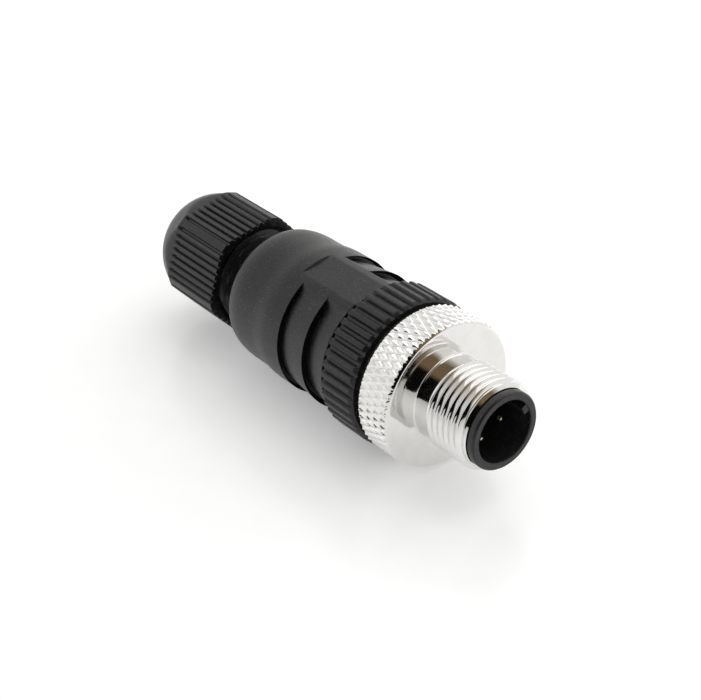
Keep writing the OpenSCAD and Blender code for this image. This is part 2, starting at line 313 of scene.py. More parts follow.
def linear(hex_code: str) -> tuple[float, float, float, float]:
    """Turns an sRGB hex colour to linear light.

    Args:
        hex_code: six hex digits.

    Returns:
        Red, green, blue and an alpha of 1.
    """
    channels = [int(hex_code[i:i + 2], 16) / 255.0 for i in (0, 2, 4)]
    red, green, blue = (c / 12.92 if c <= 0.04045 else ((c + 0.055) / 1.055) ** 2.4 for c in channels)
    return red, green, blue, 1.0


def add_node(
    tree: Tree, kind: str, settings: dict | None = None, inputs: dict | None = None
) -> bpy.types.Node:
    """Adds a node with its settings, socket values and links.

    Args:
        tree: the node tree.
        kind: the node's type name.
        settings: the node's own options.
        inputs: for each socket, by name or number, a value or the socket that feeds it.

    Returns:
        The node.
    """
    node = tree.nodes.new(kind)
    for option, value in (settings or {}).items():
        setattr(node, option, value)
    for socket, value in (inputs or {}).items():
        if isinstance(value, bpy.types.NodeSocket):
            tree.links.new(value, node.inputs[socket])
        else:
            node.inputs[socket].default_value = value
    return node


def noise(tree: Tree, where: Socket, size: float, detail: float = 2.0) -> Socket:
    """Adds a noise whose blotches are size mm across.

    Args:
        tree: the node tree.
        where: the coordinates.
        size: how wide a blotch is, in mm.
        detail: how much finer noise lies on it.

    Returns:
        The noise's value socket.
    """
    inputs = {"Vector": where, "Scale": 1.0 / (size * MM), "Detail": detail}
    return add_node(tree, "ShaderNodeTexNoise", {}, inputs).outputs["Fac"]


def remap(
    tree: Tree, value: Socket, source: tuple[float, float], target: tuple[float, float] = WHOLE
) -> Socket:
    """Adds a clamped range change.

    Args:
        tree: the node tree.
        value: the socket that is changed.
        source: the range that it comes in.
        target: the range that it goes to.

    Returns:
        The changed value's socket.
    """
    made = add_node(
        tree, "ShaderNodeMapRange", {},
        {
            "Value": value, "From Min": source[0], "From Max": source[1],
            "To Min": target[0], "To Max": target[1],
        },
    )
    return made.outputs["Result"]


def blend_colours(tree: Tree, share: Socket, first: object, second: object) -> Socket:
    """Adds a colour mix.

    Args:
        tree: the node tree.
        share: how much of the second colour shows.
        first: a colour or a colour socket.
        second: a colour or a colour socket.

    Returns:
        The mixed colour's socket.
    """
    made = add_node(tree, "ShaderNodeMix", {"data_type": "RGBA"}, {0: share, 6: first, 7: second})
    return made.outputs[2]


def new_material(name: str) -> tuple[bpy.types.Material, Tree, Socket]:
    """Starts an empty node material.

    Args:
        name: the material's name.

    Returns:
        The material, its node tree and the object coordinates.
    """
    material = bpy.data.materials.new(name)
    material.use_nodes = True
    material.node_tree.nodes.clear()
    where = add_node(material.node_tree, "ShaderNodeTexCoord").outputs["Object"]
    return material, material.node_tree, where


def finish_surface(tree: Tree, height: Socket, relief: float, inputs: dict) -> None:
    """Ends a material in a Principled shader with a bump.

    Args:
        tree: the node tree.
        height: the bump's height socket.
        relief: the bump's depth in mm.
        inputs: the shader's sockets.
    """
    bump = add_node(tree, "ShaderNodeBump", {}, {"Height": height, "Distance": relief * MM, "Strength": 1.0})
    shader = add_node(tree, "ShaderNodeBsdfPrincipled", {}, {**inputs, "Normal": bump.outputs["Normal"]})
    add_node(tree, "ShaderNodeOutputMaterial", {}, {"Surface": shader.outputs["BSDF"]})


@dataclass(frozen=True)
class MouldedPolyamide:
    """Glass-filled black polyamide from a lightly eroded mould.

    The mould leaves a fine matt grain, the glass fibres show as tiny pale specks, and the colour clouds
    a little where the melt has flowed.
    """

    name: str = "moulded_black_polyamide"
    dark: str = "0e0d0f"
    light: str = "181718"
    speck: str = "6a6767"
    cloud: float = 2.6
    grain: float = 0.16
    speck_size: float = 0.11
    roughness: tuple[float, float] = (0.30, 0.44)
    relief: float = 0.012

    def material(self) -> bpy.types.Material:
        """Builds the material."""
        material, tree, where = new_material(self.name)
        clouds = noise(tree, where, self.cloud, 3.0)
        grain = noise(tree, where, self.grain, 2.0)
        specks = remap(tree, noise(tree, where, self.speck_size, 0.0), (0.74, 0.80))
        ground = blend_colours(tree, remap(tree, clouds, NOISE_BAND), linear(self.dark), linear(self.light))
        colour = blend_colours(tree, specks, ground, linear(self.speck))
        roughness = remap(tree, grain, NOISE_BAND, self.roughness)
        finish_surface(tree, grain, self.relief, {"Base Color": colour, "Roughness": roughness, "IOR": 1.45})
        return material


@dataclass(frozen=True)
class PlatedBrass:
    """Turned brass under a bright nickel plate.

    The plate is nearly white with a warm tint, a faint haze makes its shine uneven, and a very fine grain
    spreads a highlight.
    """

    name: str = "nickel_plated_brass"
    colour: str = "e9e8e6"
    dull: str = "e3e2df"
    grain: float = 0.12
    roughness: tuple[float, float] = (0.05, 0.10)
    relief: float = 0.0006

    def material(self) -> bpy.types.Material:
        """Builds the material."""
        material, tree, where = new_material(self.name)
        haze = noise(tree, where, 1.8, 4.0)
        fine = noise(tree, where, self.grain, 1.0)
        colour = blend_colours(tree, remap(tree, haze, (0.35, 0.75)), linear(self.colour), linear(self.dull))
        roughness = remap(tree, haze, NOISE_BAND, self.roughness)
        inputs = {"Base Color": colour, "Metallic": 1.0, "Roughness": roughness}
        finish_surface(tree, fine, self.relief, inputs)
        return material


@dataclass(frozen=True)
class StruckMetal:
    """A small plated or plain metal part: contacts and screws. Handling leaves its shine a little uneven."""

    name: str
    colour: str
    roughness: tuple[float, float]
    haze: float = 0.6
    tarnish: str = "8c8378"
    relief: float = 0.001

    def material(self) -> bpy.types.Material:
        """Builds the material."""
        material, tree, where = new_material(self.name)
        haze = noise(tree, where, self.haze, 3.0)
        dulled = remap(tree, haze, (0.3, 0.8), (0.0, 0.35))
        colour = blend_colours(tree, dulled, linear(self.colour), linear(self.tarnish))
        roughness = remap(tree, haze, NOISE_BAND, self.roughness)
        inputs = {"Base Color": colour, "Metallic": 1.0, "Roughness": roughness}
        finish_surface(tree, haze, self.relief, inputs)
        return material


@dataclass(frozen=True)
class SealRubber:
    """Moulded nitrile rubber: soft black with a dusty bloom and no sharp highlight."""

    name: str = "nitrile_rubber"
    dark: str = "19191a"
    bloom: str = "2b2b2c"
    grain: float = 0.25

    def material(self) -> bpy.types.Material:
        """Builds the material."""
        material, tree, where = new_material(self.name)
        bloom = noise(tree, where, 1.4, 4.0)
        grain = noise(tree, where, self.grain, 2.0)
        colour = blend_colours(tree, remap(tree, bloom, (0.4, 0.8)), linear(self.dark), linear(self.bloom))
        roughness = remap(tree, grain, NOISE_BAND, (0.6, 0.8))
        finish_surface(tree, grain, 0.01, {"Base Color": colour, "Roughness": roughness, "IOR": 1.52})
        return material


class Finish(Enum):
    """The plug's finishes, each with the record's material slot that it belongs to."""

    HOUSING = "housing_plastic"
    INSERT = "insert_plastic"
    COUPLING = "plated_brass"
    CONTACT = "contact_metal"
    SCREW = "screw_steel"
    RUBBER = "seal_rubber"


def make_finishes() -> dict[Finish, bpy.types.Material]:
    """Builds every finish once.

    Returns:
        The material of each finish.
    """
    return {
        Finish.HOUSING: MouldedPolyamide().material(),
        Finish.INSERT: MouldedPolyamide(
            name="moulded_insert_polyamide", dark="171617", light="232223", cloud=1.4, roughness=(0.34, 0.48)
        ).material(),
        Finish.COUPLING: PlatedBrass().material(),
        Finish.CONTACT: StruckMetal("tin_plated_contact_brass", "d8ccb4", (0.16, 0.3)).material(),
        Finish.SCREW: StruckMetal("zinc_plated_steel", "c6c7c8", (0.22, 0.38)).material(),
        Finish.RUBBER: SealRubber().material(),
    }


# ---------------------------------------------------------------- sub-assemblies


@dataclass
class CouplingScrew:
    """The turned coupling: a threaded sleeve with a knurled flange, free to spin on the housing."""

    axis: Axis
    bore: float = 5.01
    nose: tuple[float, float] = (-1.2, 5.25)
    thread_start: float = -2.0
    crest: float = 5.97
    root: float = 5.37
    pitch: float = 1.0
    first_root: float = -4.217
    thread_end: float = -7.4
    neck: tuple[float, float] = (-8.15, 5.5)
    face: float = -10.2
    flange: float = 10.03
    chamfer: float = 0.5
    rear: float = -15.5
    rear_chamfer: float = 0.25
    web_end: float = -12.2
    counterbore: float = 7.63
    diamonds: int = 60
    diamond_length: float = 2.6
    knurl_depth: float = 0.28
    knurl_groove: float = 0.38
    steps: int = 180
    diamond_cells: int = 12
    fillet: float = 0.3

    def thread_profile(self) -> Profile:
        """Lays out the thread's section, root to root, over more turns than the sleeve holds.

        Returns:
            The section's points, from the rear forwards.
        """
        turn = (
            (0.0, 0.0), (0.09, 0.0), (0.36, 0.88), (0.42, 0.98), (0.5, 1.0), (0.58, 0.98), (0.64, 0.88),
            (0.91, 0.0),
        )
        first = self.first_root - math.ceil(self.first_root - self.face + 1.0) * self.pitch
        turns = math.ceil((self.nose[0] - first) / self.pitch) + 1
        depth = self.crest - self.root
        points = [
            (first + (i + share) * self.pitch, self.root + depth * rise)
            for i in range(turns) for share, rise in turn
        ]
        return points + [(first + turns * self.pitch, self.root)]

    def sleeve_radius(self, station: float, radius: float) -> float:
        """Keeps the thread under the nose's cone and runs it out into the neck.

        Args:
            station: where the point is.
            radius: the plain thread's radius there.

        Returns:
            The radius on the sleeve.
        """
        slope = (self.crest - self.nose[1]) / (self.nose[0] - self.thread_start)
        radius = min(radius, self.nose[1] + slope * (self.nose[0] - station))
        run_out = ease((self.thread_end - station) / (self.thread_end - self.neck[0]))
        return mix(radius, self.neck[1], run_out)

    def threaded_sleeve(self) -> Lathe:
        """Spins the thread's section along a helix and trims it to the sleeve.

        Returns:
            A lathe that holds the threaded skin, its rim at the start of the neck.
        """
        lathe = Lathe(self.axis, even_angles(3), (0.0, 1.0))
        lathe.mesh.clear()
        mesh = lathe.mesh
        section = [
            mesh.verts.new(self.axis.place(station, radius, 0.0)) for station, radius in self.thread_profile()
        ]
        lines = [mesh.edges.new(pair) for pair in zip(section, section[1:])]
        bmesh.ops.spin(
            mesh, geom=section + lines, cent=(0.0, 0.0, self.axis.height), axis=(1.0, 0.0, 0.0),
            dvec=(self.pitch * MM / self.steps, 0.0, 0.0), angle=FULL_TURN, steps=self.steps, use_merge=False,
        )
        bmesh.ops.remove_doubles(mesh, verts=mesh.verts, dist=WELD)
        for station, outwards in ((self.nose[0], 1.0), (self.neck[0], -1.0)):
            everything = list(mesh.verts) + list(mesh.edges) + list(mesh.faces)
            bmesh.ops.bisect_plane(
                mesh, geom=everything, plane_co=self.axis.place(station, 0.0, 0.0),
                plane_no=(outwards, 0.0, 0.0), clear_outer=True, dist=WELD,
            )
        for point in mesh.verts:
            station = self.axis.station_of(point.co)
            radius = self.sleeve_radius(station, self.axis.radius_of(point.co))
            point.co = self.axis.place(station, radius, self.axis.angle_of(point.co))
        lathe.rim = lathe.open_edges(self.neck[0])
        return lathe

    def knurled(self, station: float, angle: float, radius: float) -> float:
        """Cuts the crossed knurl into the flange's rim.

        Args:
            station: where the point is.
            angle: its angle.
            radius: the plain flange's radius there.

        Returns:
            The radius with the knurl.
        """
        if radius < self.flange - self.knurl_depth:
            return radius
        pitch = FULL_TURN * self.flange / self.diamonds
        around = angle * self.flange
        along = (station - self.face) / self.diamond_length * pitch
        nearest = min(abs((around + way * along + pitch / 2.0) % pitch - pitch / 2.0) for way in (1.0, -1.0))
        cut = 1.0 - min(1.0, nearest / self.knurl_groove)
        return min(radius, self.flange - self.knurl_depth * cut)

    def knurled_flange(self) -> Lathe:
        """Grows the flange's rim from the edge of its front face to its rear face.

        Returns:
            The lathe, with one rim on the front face and one on the rear face.
        """
        columns = self.diamonds * self.diamond_cells
        row = self.diamond_length / self.diamond_cells
        front = self.face - self.chamfer
        back = self.rear + self.rear_chamfer
        inner = self.flange - self.chamfer
        lathe = Lathe(self.axis, even_angles(columns), (self.face, inner - 0.3), self.knurled)
        corners = [(self.face, inner - 0.3, 0), (self.face, inner, 0.1), (front, self.flange, 0)]
        lathe.follow(softened(corners, 2)[1:-1])
        lathe.follow(
            [(mix(self.face, front, share), mix(inner, self.flange, share)) for share in (0.5, 0.75, 1.0)]
        )
        count = int((front - back) / row)
        lathe.follow([(front - row * (i + 1), self.flange) for i in range(count)])
        edge = self.flange - self.rear_chamfer
        lathe.follow([(back, self.flange), (self.rear, edge), (self.rear, inner - 0.3)])
        return lathe

    def build(self, finishes: dict[Finish, bpy.types.Material]) -> list[bpy.types.Object]:
        """Builds the coupling and sets it on its body.

        Args:
            finishes: the plug's materials.

        Returns:
            The pieces.
        """
        sleeve = self.threaded_sleeve()
        neck = self.neck[1]
        corners = [(self.neck[0], neck, 0), (self.face, neck, self.fillet), (self.face, neck + 1.0, 0)]
        sleeve.follow(softened(corners, 4)[1:])
        sleeve.take_over(self.knurled_flange())
        inside = Lathe(self.axis, even_angles(self.steps), (self.rear, self.flange - self.chamfer - 0.6))
        inside.follow(
            softened(
                [
                    (self.rear, 9.0, 0), (self.rear, self.counterbore, 0.15),
                    (self.web_end, self.counterbore, 0.2), (self.web_end, self.bore, 0.1),
                    (self.nose[0] - 0.07, self.bore, 0), (self.nose[0], self.bore + 0.07, 0),
                ],
                3,
            )
        )
        sleeve.take_over(inside)
        for station in (self.face, self.rear, self.nose[0]):
            sleeve.close_flat(station)
        piece = as_piece("knurled_coupling", sleeve.weld(), finishes[Finish.COUPLING], 42.0)
        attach(piece, "coupling")
        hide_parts("coupling_screw")
        return [piece]


@dataclass
class GripRing:
    """The ribbed ring that the fingers turn: a moulded ring with 43 ribs and a chamfered front rim."""

    axis: Axis
    ribs: int = 43
    first_groove: float = -90.0
    depth: float = 0.46
    lip: float = 0.43
    floor: float = 0.16
    boss: tuple[float, float] = (-13.6, 7.47)
    front: float = -16.0
    rim: float = 9.2
    shoulder: float = -16.55
    shoulder_rise: float = 0.6
    chamfer_end: float = -17.0
    radius: float = 10.2
    rear: float = -22.5
    spigot: tuple[float, float] = (-28.5, 7.6)
    bore: float = 6.1

    def groove_points(self) -> list[tuple[float, float]]:
        """Gives the section of one groove as (offset in mm, share of the full depth) pairs."""
        return [
            (-self.lip - 0.10, 0.0), (-self.lip - 0.03, 0.03), (-self.lip + 0.05, 0.16),
            (-self.floor - 0.03, 0.93), (0.0, 1.0), (self.floor + 0.03, 0.93),
            (self.lip - 0.05, 0.16), (self.lip + 0.03, 0.03), (self.lip + 0.10, 0.0),
        ]

    def angles(self) -> list[float]:
        """Gives the ring's points, closer together where a groove turns."""
        pitch = FULL_TURN / self.ribs
        first = math.radians(self.first_groove)
        return [
            first + i * pitch + offset / self.radius
            for i in range(self.ribs) for offset, _ in self.groove_points()
        ]

    def ribbed(self, station: float, angle: float, radius: float) -> float:
        """Cuts the grooves between the ribs.

        Args:
            station: where the point is.
            angle: its angle.
            radius: the plain ring's radius there.

        Returns:
            The radius with the grooves.
        """
        floor = self.radius - self.depth
        if radius <= floor or station > self.front or station < self.rear:
            return radius
        pitch = FULL_TURN / self.ribs
        offset = apart(angle, math.radians(self.first_groove)) % pitch
        offset = (offset if offset < pitch / 2.0 else offset - pitch) * self.radius
        section = self.groove_points()
        if abs(offset) >= section[-1][0]:
            return radius
        places = [place for place, _ in section]
        i = min(len(section) - 2, max(0, bisect.bisect_right(places, offset + 1e-7) - 1))
        share = (offset - places[i]) / (places[i + 1] - places[i])
        cut = mix(section[i][1], section[i + 1][1], min(1.0, max(0.0, share)))
        return min(radius, self.radius - self.depth * cut)

    def build(self, finishes: dict[Finish, bpy.types.Material]) -> list[bpy.types.Object]:
        """Builds the ring and sets it on the housing.

        Args:
            finishes: the plug's materials.

        Returns:
            The pieces.
        """
        profile = softened(
            [
                (self.boss[0], self.bore, 0), (self.boss[0], self.boss[1], 0.15),
                (self.front, self.boss[1], 0), (self.front, self.rim, 0.12),
                (self.shoulder, self.rim, 0), (self.shoulder, self.rim + self.shoulder_rise, 0.1),
                (self.chamfer_end, self.radius, 0.2), (self.rear, self.radius, 0.12),
                (self.rear, self.spigot[1], 0), (self.spigot[0], self.spigot[1], 0.2),
                (self.spigot[0], self.bore, 0),
                (self.boss[0], self.bore, 0),
            ],
            4,
        )
        lathe = Lathe(self.axis, self.angles(), profile[0], self.ribbed)
        lathe.follow(profile[1:])
        piece = as_piece("ribbed_grip", lathe.weld(), finishes[Finish.HOUSING], 40.0)
        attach(piece, "housing")
        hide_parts("grip_ring")
        return [piece]


@dataclass
class BodySleeve:
    """The moulded body: two grip steps that fade out at flat pads, a bare label flat, a threaded spigot."""

    axis: Axis
    front: float = -22.6
    gap: tuple[float, float] = (-22.88, 9.3)
    radius: float = 9.75
    steps: tuple[tuple[float, float, float, float], ...] = (
        (-23.2, 9.5, -27.2, 8.8), (-27.2, 9.65, -32.25, 9.1),
    )
    pads: tuple[float, float] = (103.0, 283.0)
    pad_half: float = 3.5
    pad_fade: float = 1.9
    slot_width: float = 0.12
    slot_depth: float = 0.5
    lip: float = 0.3
    undercut: float = 0.8
    label_turn: float = 103.0
    label_reach: float = 0.6
    label_height: float = 9.45
    label_end: float = -33.7
    waist: tuple[float, float, float, float] = (-35.6, 9.75, -38.0, 9.45)
    shoulder: tuple[float, float, float] = (-41.0, 3.6, 1.0)
    rear_face: tuple[float, float] = (-45.1, 7.0)
    spigot: float = 6.9
    spigot_end: float = -54.5
    thread_pitch: float = 1.5
    thread_depth: float = 0.85
    thread_crest: float = -47.8
    thread_turn: float = 150.0
    thread_land: float = 0.06
    thread_flank: float = 0.5
    mouth: float = 7.65
    chamber: float = 7.15
    chamber_start: float = -28.5
    chamber_end: float = -41.0
    stop: tuple[float, float] = (-43.2, 3.9)
    spigot_bore: float = 5.7
    around: int = 360

    def sides(self, station: float) -> float:
        """Gives the radius between the pads, where the grip steps are cut.

        Args:
            station: where the point is.

        Returns:
            The radius.
        """
        for start, high, end, low in self.steps:
            if end <= station <= start:
                if station < end + self.slot_width * 0.5:
                    return min(self.radius, high + 0.15) if station <= end + 0.001 else low + self.lip
                dip = self.slot_depth if station < end + self.slot_width - 0.001 else 0.0
                return mix(high, low, (start - station) / (start - end)) - dip
        return self.radius

    def side_share(self, angle: float) -> float:
        """Gives how far a point is off the pads: 0 on a pad, rising to 1 on the grip."""
        off = min(abs(apart(angle, math.radians(pad))) for pad in self.pads) * self.radius
        rise = min(1.0, max(0.0, (off - self.pad_half) / self.pad_fade))
        return rise * (2.0 - rise)

    def undercut_station(self, station: float, angle: float) -> float:
        """Draws a grip step's wall back under its edge, so that the step casts a deep shadow.

        Args:
            station: the ring's station.
            angle: the point's angle.

        Returns:
            The point's station.
        """
        for _, _, end, _ in self.steps:
            if end + 0.001 < station < end + self.slot_width * 0.7:
                return station - self.undercut * self.side_share(angle)
        return station

    def outside(self, station: float, angle: float, radius: float) -> float:
        """Shapes the outside: pads, grip steps, the label flat and the spigot's thread.

        Args:
            station: where the point is.
            angle: its angle.
            radius: the profile's radius there.

        Returns:
            The shaped radius.
        """
        if station <= self.rear_face[0] + 0.01:
            return self.threaded(station, angle, radius)
        if station < self.label_end - 0.1 or radius < self.mouth + 0.5:
            return radius
        radius = min(radius, mix(self.radius, self.sides(station), self.side_share(angle)))
        tilt = apart(angle, math.radians(self.label_turn))
        if abs(tilt) < self.label_reach:
            end = ease((station - self.label_end) / 0.12)
            radius = min(radius, mix(self.radius, self.label_height / math.cos(tilt), end))
        return radius

    def threaded(self, station: float, angle: float, radius: float) -> float:
        """Cuts the coarse moulded thread into the spigot.

        Args:
            station: where the point is.
            angle: its angle.
            radius: the plain spigot's radius there.

        Returns:
            The radius with the thread.
        """
        if radius < self.spigot - 0.2 or station < self.spigot_end + 0.3:
            return radius
        around = (angle - math.radians(self.thread_turn)) / FULL_TURN
        turn = (station - self.thread_crest) / self.thread_pitch - around
        off = abs((turn + 0.5) % 1.0 - 0.5) * 2.0
        return radius - self.thread_depth * min(1.0, max(0.0, (off - self.thread_land) / self.thread_flank))

    def rows(self) -> Profile:
        """Lays out the outside's rings, closer together where the shape turns.

        Returns:
            The profile from the front edge to the end of the spigot.
        """
        edge, low = self.gap
        points: Profile = [(self.front, low), (edge, low)]
        points += [(edge - 0.02, self.radius - 0.12), (edge - 0.12, self.radius)]
        for start, _, end, _ in self.steps:
            slot = end + self.slot_width
            points += [(mix(start, slot, share / 5.0), self.radius) for share in range(6)]
            points += [(mix(end, slot, share), self.radius) for share in (0.9, 0.6, 0.4)]
            points += [(end, self.radius), (end - 0.05, self.radius)]
        points += [(self.label_end + lift, self.radius) for lift in (0.9, 0.12, 0.06, 0.0, -0.12)]
        start, high, end, low = self.waist
        waist = [(start + 1.6, high, 0), (start, high, 0.7), (end, low, 0.9), (end - 1.8, low, 0)]
        points += softened(waist, 5)
        begin, reach, drop = self.shoulder
        points += [
            (begin - reach * math.sin(turn), self.waist[3] - drop * (1.0 - math.cos(turn)))
            for turn in (math.pi / 2.0 * i / 14 for i in range(14))
        ]
        points += [(begin - reach, self.waist[3] - drop), (begin - reach - 0.05, self.waist[3] - drop - 0.12)]
        points += [self.rear_face]
        thread_start = self.rear_face[0]
        count = int((thread_start - self.spigot_end) / 0.14)
        points += [
            (mix(thread_start, self.spigot_end + 0.3, (i + 1) / count), self.spigot) for i in range(count)
        ]
        return points + [(self.spigot_end, self.spigot - 0.8)]

    def build(self, finishes: dict[Finish, bpy.types.Material]) -> list[bpy.types.Object]:
        """Builds the body and sets it on the housing.

        Args:
            finishes: the plug's materials.

        Returns:
            The pieces.
        """
        lathe = Lathe(self.axis, even_angles(self.around), (self.front, self.mouth), self.outside)
        lathe.lean = self.undercut_station
        lathe.follow(self.rows())
        lathe.reach = as_is
        lathe.follow(
            [
                (self.spigot_end, self.spigot_bore), (self.stop[0], self.spigot_bore), self.stop,
                (self.chamber_end, self.stop[1]), (self.chamber_end, self.chamber),
                (self.chamber_start, self.chamber), (self.chamber_start, self.mouth),
                (self.front, self.mouth),
            ]
        )
        piece = as_piece("moulded_body", lathe.weld(), finishes[Finish.HOUSING], 32.0)
        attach(piece, "housing")
        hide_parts("body_sleeve")
        return [piece]


@dataclass
class GlandNut:
    """The hexagonal gland nut: grooved flats, plain corners and a domed end round the cable hole."""

    axis: Axis
    flat: float = 8.0
    corner: float = 8.7
    first_flat: float = 103.0
    grooves: int = 8
    groove_pitch: float = 1.0286
    groove_depth: float = 0.36
    mouth: float = -49.2
    groove_end: float = -59.6
    run_out: float = 0.75
    dome: tuple[float, float, float] = (-59.5, 8.2, 7.4)
    end: float = -65.8
    bore: tuple[float, float] = (-57.0, 6.96)
    pocket: tuple[float, float] = (-58.3, 6.55)
    cable_hole: float = 4.1
    beyond: float = 9.0
    dome_rows: int = 16
    lips: tuple[float, float, float, float] = (0.36, 0.29, 0.24, 0.13)

    def outline(self) -> list[tuple[float, float, float]]:
        """Lays out the nut's section.

        Returns:
            For each point its angle, its distance from the axis and the share of the groove's depth there.
        """
        cuts = (0.0, 0.05, 0.18, 1.0)
        points: list[tuple[float, float, float]] = []
        for side in range(6):
            normal = math.radians(self.first_flat + 60.0 * side)
            for i in range(self.grooves):
                centre = (i - (self.grooves - 1) / 2.0) * self.groove_pitch
                offsets = [-lip for lip in self.lips] + list(reversed(self.lips))
                shares = list(cuts) + list(reversed(cuts))
                for offset, share in zip(offsets, shares):
                    across = centre + offset
                    out = min(self.flat, math.sqrt(self.corner ** 2 - across ** 2))
                    points.append((normal + math.atan2(across, out), math.hypot(across, out), share))
        return sorted((angle % FULL_TURN, out, share) for angle, out, share in points)

    def build(self, finishes: dict[Finish, bpy.types.Material]) -> list[bpy.types.Object]:
        """Builds the nut and sets it on its body.

        Args:
            finishes: the plug's materials.

        Returns:
            The pieces.
        """
        outline = self.outline()
        angles = [angle for angle, _, _ in outline]

        def shaped(station: float, angle: float, radius: float) -> float:
            """Holds a ring to the nut's outline and to the dome, with the grooves cut in."""
            if radius < self.pocket[1] and station > self.end + 3.0:
                return radius
            i = bisect.bisect_left(angles, angle - 1e-5) % len(angles)
            _, out, share = outline[i]
            fade = ease((station - self.groove_end) / self.run_out)
            out -= self.groove_depth * share * fade
            return min(radius, out)

        def dome_radius(station: float) -> float:
            """Gives the dome's radius at a station."""
            centre, half, length = self.dome
            return half * math.sqrt(max(0.0, 1.0 - (max(0.0, centre - station) / length) ** 2))

        lathe = Lathe(self.axis, angles, (self.mouth - 0.35, 7.05), shaped)
        outer = self.beyond
        lathe.follow([(self.mouth - 0.05, 7.3), (self.mouth, 7.4), (self.mouth, outer)])
        lathe.follow([(self.mouth - 5.0, outer)])
        lathe.follow([(self.groove_end + self.run_out * share, outer) for share in (1.3, 1.0, 0.8, 0.6)])
        lathe.follow(
            [
                (self.groove_end + self.run_out * share, mix(self.corner, outer, share))
                for share in (0.45, 0.3, 0.15, 0.0)
            ]
        )
        turns = [math.pi / 2.0 * i / self.dome_rows for i in range(1, self.dome_rows + 1)]
        for station in (mix(self.groove_end, self.end + 0.35, math.sin(turn)) for turn in turns):
            swell = 0.3 * ease(1.0 - (self.groove_end - station) / 2.0)
            lathe.grow(station, dome_radius(station) + swell)
        lathe.reach = as_is
        last = dome_radius(self.end + 0.35)
        lathe.follow([(self.end + 0.12, last - 0.18), (self.end, last - 0.42)])
        lathe.follow([(self.end, self.cable_hole + 0.12)])
        lathe.follow([(self.end + 0.12, self.cable_hole), (self.pocket[0], self.cable_hole)])
        lathe.follow([self.pocket, (self.bore[0], self.pocket[1]), self.bore])
        lathe.follow([(self.mouth - 0.35, self.bore[1]), (self.mouth - 0.35, 7.05)])
        piece = as_piece("gland_nut_shell", lathe.weld(), finishes[Finish.HOUSING], 36.0)
        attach(piece, "nut")
        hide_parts("gland_nut")
        return [piece]


@dataclass
class Inside:
    """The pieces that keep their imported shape: insert, contacts, screws, seals and the clamp basket."""

    bodies: dict[str, str] = field(default_factory=lambda: {
        node: body for body, nodes in frame["record"]["behaviour"]["bodies"].items() for node in nodes
    })

    def build(self, finishes: dict[Finish, bpy.types.Material]) -> list[bpy.types.Object]:
        """Dresses the kept nodes.

        Args:
            finishes: the plug's materials.

        Returns:
            The pieces.
        """
        plan = [
            ("contact_insert", "socket_insert", Finish.INSERT, 0.05),
            ("cable_seal", "gland_seal", Finish.RUBBER, 0.12),
            ("clamp_basket", "clamping_basket", Finish.HOUSING, 0.08),
            ("body_o_ring", "body_seal_ring", Finish.RUBBER, 0.0),
            ("insert_o_ring", "insert_seal_ring", Finish.RUBBER, 0.0),
        ]
        plan += [(f"contact_pin_{i}", f"pin_{i}", Finish.CONTACT, 0.03) for i in range(1, 5)]
        plan += [(f"terminal_screw_{i}", f"clamp_screw_{i}", Finish.SCREW, 0.04) for i in range(1, 5)]
        pieces = []
        for node, name, finish, edge in plan:
            piece = merged_copy(node, name, finishes[finish], edge)
            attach(piece, self.bodies[node])
            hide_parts(node)
            pieces.append(piece)
        return pieces


# ---------------------------------------------------------------- studio


